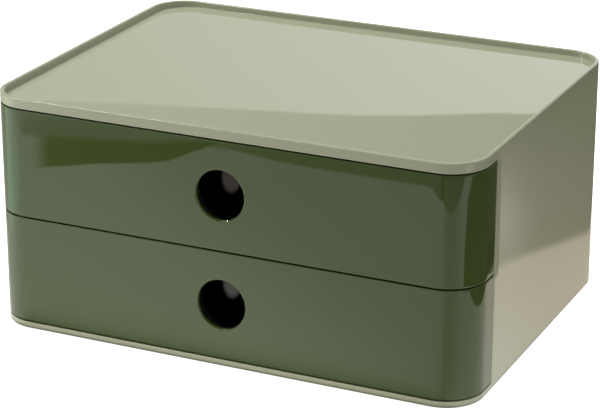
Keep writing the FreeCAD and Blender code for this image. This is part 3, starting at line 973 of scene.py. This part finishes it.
def table_light(x, y):
    """Colour of the card at a place, its strength in reflections and that in soft light.

    The colour is a brightness times a tint, 1 + the sum of share * change over the regions.
    Both strengths fall to 0 at the foot of the box as 1 - exp(-gap / length).
    """
    near_side = soft_step(y, *near_side_change)
    far_left = region(-x, y, *far_left_region)
    deep = region(x, y, *deep_region)
    leafy = region(-x, y, *leafy_region) * (1 - far_left)
    front_edge, on_table, beyond_side = table_edges(x, y)
    past = np.where(beyond_side > 0.5, past_side_edge(x, y), past_front_edge(x, y, front_edge))
    level = on_table * table_top(x, y, near_side) + (1 - on_table) * past
    level = level * (1 - far_left_dark * far_left)
    level = level * (1 - deep_dark * deep * soft_step(x, *deep_dark_change))
    tint = 1 + sum(share[..., None] * np.array(change) for share, change in (
        (region(x, y, *warm_region), warm_tint), (leafy, leafy_tint), (deep, deep_tint),
        (near_side, near_side_tint)))

    # Painted contact shadow: the card's strength in reflections and in soft light falls to 0 at the
    # box's foot.
    aside = contact_shadow_stretch * np.maximum(np.abs(x) - contact_shadow_half, 0)
    front_gap = np.hypot(aside, np.maximum(-half_y / mm - y, 0))
    foot = np.exp(-np.maximum(front_gap - contact_shadow_hold, 0) / contact_shadow_length)
    mirrored = 1 - foot * soft_step(-y, *contact_shadow_start)
    across, along = np.maximum(np.abs(x) - corner_x, 0), np.maximum(np.abs(y) - corner_y, 0)
    gap = np.maximum(np.hypot(across, along) - corner_radius / mm, 0)
    lift = (lift_level + lift_ahead * (1 - near_side)) * (1 - np.exp(-gap / lift_length))
    return np.concatenate([level[..., None] * tint, mirrored[..., None], lift[..., None]], 2)


glow_z = 0.4 * mm
glow_half, glow_count = 3, 12
glow_fine_half, glow_fine_count = 0.5, 501
glow_middle = np.linspace(-glow_fine_half, glow_fine_half, glow_fine_count)
glow_outer = np.linspace(glow_fine_half, glow_half, glow_count)[1:]
glow_places = np.concatenate([-glow_outer[::-1], glow_middle, glow_outer])
glow_rows = table(glow_places, glow_places, glow_z)
glow_mesh = bpy.data.meshes.new("table_glow")
glow_mesh.from_pydata(glow_rows.reshape(-1, 3), [], grid_faces(glow_rows.shape[:2]))
glow_values = table_light(glow_rows[..., 0] / mm, glow_rows[..., 1] / mm)
glow_attribute = glow_mesh.attributes.new("glow", "FLOAT_COLOR", "POINT")
glow_attribute.data.foreach_set("color", glow_values[..., :4].ravel())
lift_attribute = glow_mesh.attributes.new("lift", "FLOAT", "POINT")
lift_attribute.data.foreach_set("value", glow_values[..., 4].ravel())
table_glow = placed("table_glow", glow_mesh)
glow_material = bpy.data.materials.new("table_glow")
glow_material.use_nodes = True
glow_tree = glow_material.node_tree
glow_tree.nodes.clear()
glow_source = add_node(glow_tree, "ShaderNodeAttribute", attribute_name="glow")
glow_lift = add_node(glow_tree, "ShaderNodeAttribute", attribute_name="lift")
glow_path = add_node(glow_tree, "ShaderNodeLightPath")
glow_level = add_node(glow_tree, "ShaderNodeMix", {0: glow_path.outputs["Is Glossy Ray"],
                      2: glow_lift.outputs["Fac"], 3: glow_source.outputs["Alpha"]})
glow_shader = add_node(glow_tree, "ShaderNodeEmission", {"Color": glow_source.outputs["Color"],
                       "Strength": glow_level.outputs[0]})
add_node(glow_tree, "ShaderNodeOutputMaterial", {"Surface": glow_shader.outputs[0]})
glow_material.cycles.emission_sampling = "NONE"
glow_mesh.materials.append(glow_material)
for sight in ("camera", "shadow", "transmission", "volume_scatter"):
    setattr(table_glow, "visible_" + sight, False)

# Surroundings: the camera sees white. Reflections see a wall that is dim at the left, under a
# darker ceiling. Soft light grows upwards and to the right.
wall_dim_x, wall_light_x = -0.5, -0.27
wall_levels, ceiling_levels = (0.46, 1.24), (0.26, 0.15)
ceiling_from, ceiling_to = 0.3150, 0.3158
soft_low, soft_top, soft_slant, soft_least = 0.18, 0.84, 0.2, 0.05
world = bpy.data.worlds.new("studio")
bpy.context.scene.world = world
world.use_nodes = True
sky = world.node_tree
sky.nodes.clear()


def sky_light(strength):
    """White background light of one strength."""
    return add_node(sky, "ShaderNodeBackground", {"Color": (1, 1, 1, 1),
                    "Strength": strength}).outputs[0]


def sky_choice(share, first, second):
    """One background light where the share is 0 and the other where it is 1."""
    return add_node(sky, "ShaderNodeMixShader", {0: share, 1: first, 2: second}).outputs[0]


sky_axes = axes(sky, "Generated")
sky_path = add_node(sky, "ShaderNodeLightPath").outputs
sky_wall = mapped(sky, sky_axes["X"], wall_dim_x, wall_light_x, *wall_levels)
sky_ceiling = mapped(sky, sky_axes["X"], wall_dim_x, wall_light_x, *ceiling_levels)
sky_step = mapped(sky, sky_axes["Z"], ceiling_from, ceiling_to)
sky_mirrored = add_node(sky, "ShaderNodeMix", {0: sky_step, 2: sky_wall, 3: sky_ceiling}).outputs[0]
sky_upwards = mapped(sky, sky_axes["Z"], 0, 1, soft_low, soft_top)
sky_soft = calculated(sky, "MULTIPLY_ADD", sky_axes["X"], soft_slant, sky_upwards)
sky_soft = calculated(sky, "MAXIMUM", sky_soft, soft_least)
sky_unseen = sky_choice(sky_path["Is Glossy Ray"], sky_light(sky_soft), sky_light(sky_mirrored))
sky_all = sky_choice(sky_path["Is Camera Ray"], sky_unseen, sky_light(1.0))
add_node(sky, "ShaderNodeOutputWorld", {"Surface": sky_all})

lamp_aim = Vector((0, 0, 60 * mm))


def lamp(name, direction, distance, size, power):
    """Square area light at a distance from the box along a direction, turned to the box."""
    data = bpy.data.lights.new(name, "AREA")
    data.size, data.energy = size, power
    light = placed(name, data)
    away = Vector(direction).normalized()
    light.rotation_euler = away.to_track_quat("Z", "Y").to_euler()
    light.location = lamp_aim + away * distance
    return light


def receivers(name, pieces):
    """Collection of the only pieces that a lamp lights."""
    collection = bpy.data.collections.new(name)
    for piece in pieces:
        collection.objects.link(piece)
    return collection


lamp("key", direction=(-0.60, -0.05, 0.80), distance=1.6, size=0.6, power=18.5)
spark = lamp("spark", direction=(-0.70, -0.43, 0.57), distance=1.3, size=0.03, power=1.5)
glint = lamp("glint", direction=(-0.81, -0.47, 0.36), distance=1.3, size=0.05, power=30)
glint.data.shape, glint.data.size_y = "RECTANGLE", 0.5
for light in (spark, glint):
    light.visible_diffuse = False
glint.light_linking.receiver_collection = receivers("case_only", [case_moulding])

# Two narrow lamps shine through the finger holes on to the floors of the drawers.
drawer_insides = receivers("drawer_insides", drawer_tubs)
peep_way = Vector((0.42, -0.87, 0.196))
peep_x, peep_distance, peep_source = 5 * mm, 0.5, 1 * mm
peep_cone, peep_blend = math.radians(1), 0.1
for name, height, power, color in (("peep_low", 28.9 * mm, 215, (1, 1, 0.86)),
                                   ("peep_high", 86.5 * mm, 140, (1, 0.86, 0.74))):
    beam = bpy.data.lights.new(name, "SPOT")
    beam.energy, beam.color, beam.shadow_soft_size = power, color, peep_source
    beam.spot_size, beam.spot_blend = peep_cone, peep_blend
    peep = placed(name, beam)
    peep.rotation_euler = peep_way.to_track_quat("Z", "Y").to_euler()
    peep.location = Vector((peep_x, -half_y, height)) + peep_way.normalized() * peep_distance
    peep.light_linking.receiver_collection = drawer_insides
